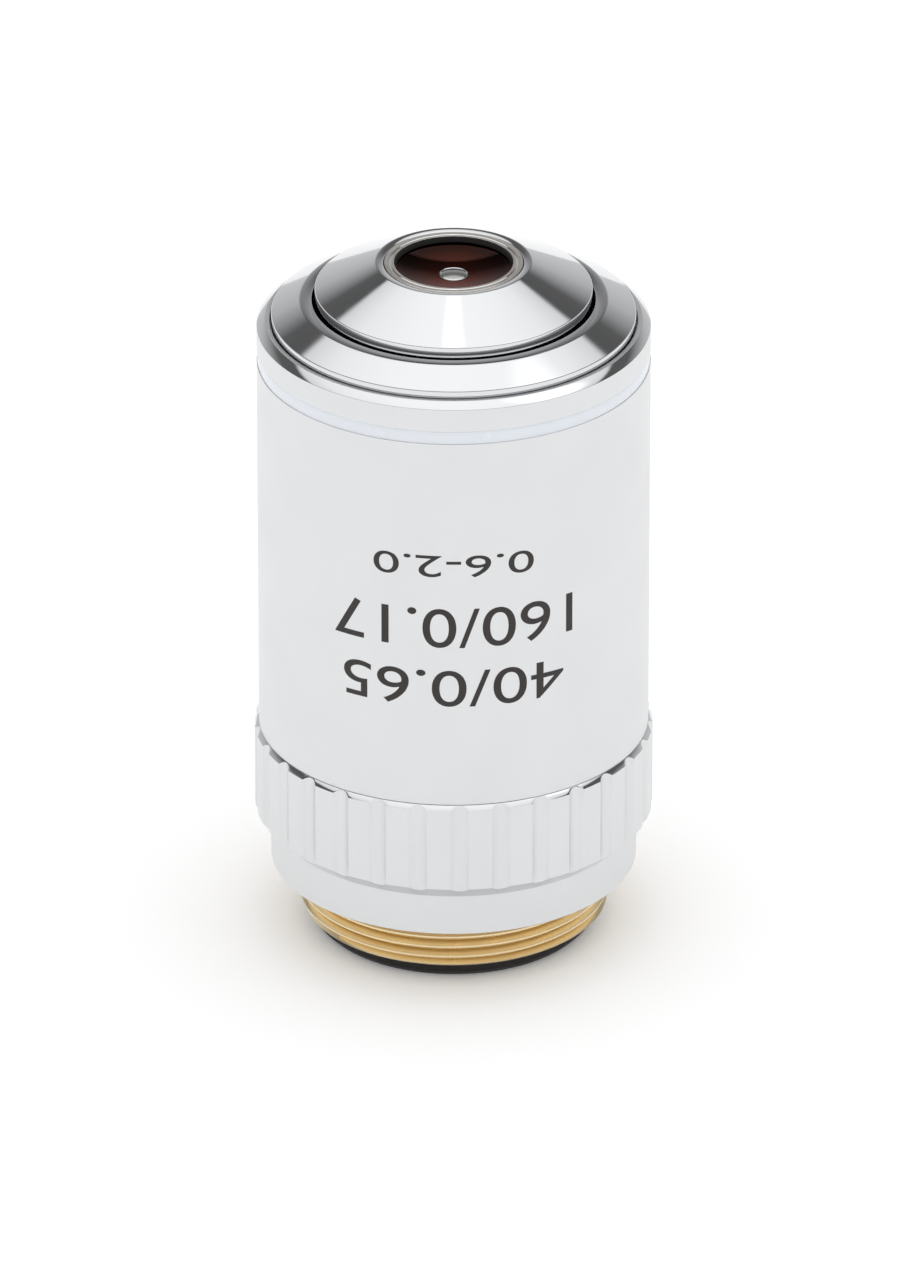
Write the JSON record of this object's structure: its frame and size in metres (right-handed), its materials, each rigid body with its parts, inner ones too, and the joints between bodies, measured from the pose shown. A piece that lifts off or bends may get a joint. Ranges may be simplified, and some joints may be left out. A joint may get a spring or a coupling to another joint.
{
  "type": "microscope objective",
  "caption": "Dry microscope objective with a spring-loaded nose, stacked lens cells, a grooved grip ring and a fine mounting thread.",
  "frame": {"origin": "centre of the seating shoulder's plane, on the optical axis", "axes": "+Z along the optical axis from the mounting thread towards the front lens; -Y towards the side that carries the marking"},
  "size_m": [0.026, 0.026, 0.0475],
  "materials": {
    "satin_chrome": "satin plated, fine and even",
    "polished_chrome": "turned and polished to a mirror",
    "brass": "turned, bare",
    "blackened_brass": "chemically blackened, dull",
    "black_anodised": "matt black anodised",
    "enamel": "filled enamel, smooth",
    "steel": "plain steel",
    "coated_glass": "polished, with an amber anti-reflection coating",
    "optical_glass": "polished"
  },
  "bodies": {
    "housing": {"grip_flange": "satin_chrome", "barrel_sleeve": "satin_chrome", "code_band": "enamel", "front_ring": "polished_chrome", "mount_tube": "brass", "rear_stop_ring": "black_anodised", "parfocal_shim": "brass", "clamp_ring": "blackened_brass", "spring_seat": "steel", "guide_screws": "steel", "return_spring": "steel"},
    "nose": {"lens_barrel": "brass", "nose_cone": "polished_chrome", "front_cell": "polished_chrome", "front_lens": "coated_glass", "front_retainer": "blackened_brass", "meniscus_cell": "blackened_brass", "meniscus_lens": "optical_glass", "singlet_cell": "blackened_brass", "singlet_lens": "optical_glass", "doublet_cell": "blackened_brass", "doublet_crown_lens": "optical_glass", "doublet_flint_lens": "optical_glass", "triplet_cell": "blackened_brass", "triplet_front_lens": "optical_glass", "triplet_middle_lens": "optical_glass", "triplet_rear_lens": "optical_glass", "aperture_stop": "black_anodised", "spacer_ring": "black_anodised", "relay_cell": "blackened_brass", "relay_crown_lens": "optical_glass", "relay_flint_lens": "optical_glass", "rear_cell": "blackened_brass", "rear_lens": "coated_glass", "rear_retainer": "blackened_brass"}
  },
  "joints": [
    {"name": "nose_retract", "type": "slide", "parent": "housing", "child": "nose", "axis": [0, 0, -1], "range_m": [0, 0.0018], "stiffness_N_per_m": 130, "springref_m": -0.012, "deforming": ["return_spring"]}
  ]
}
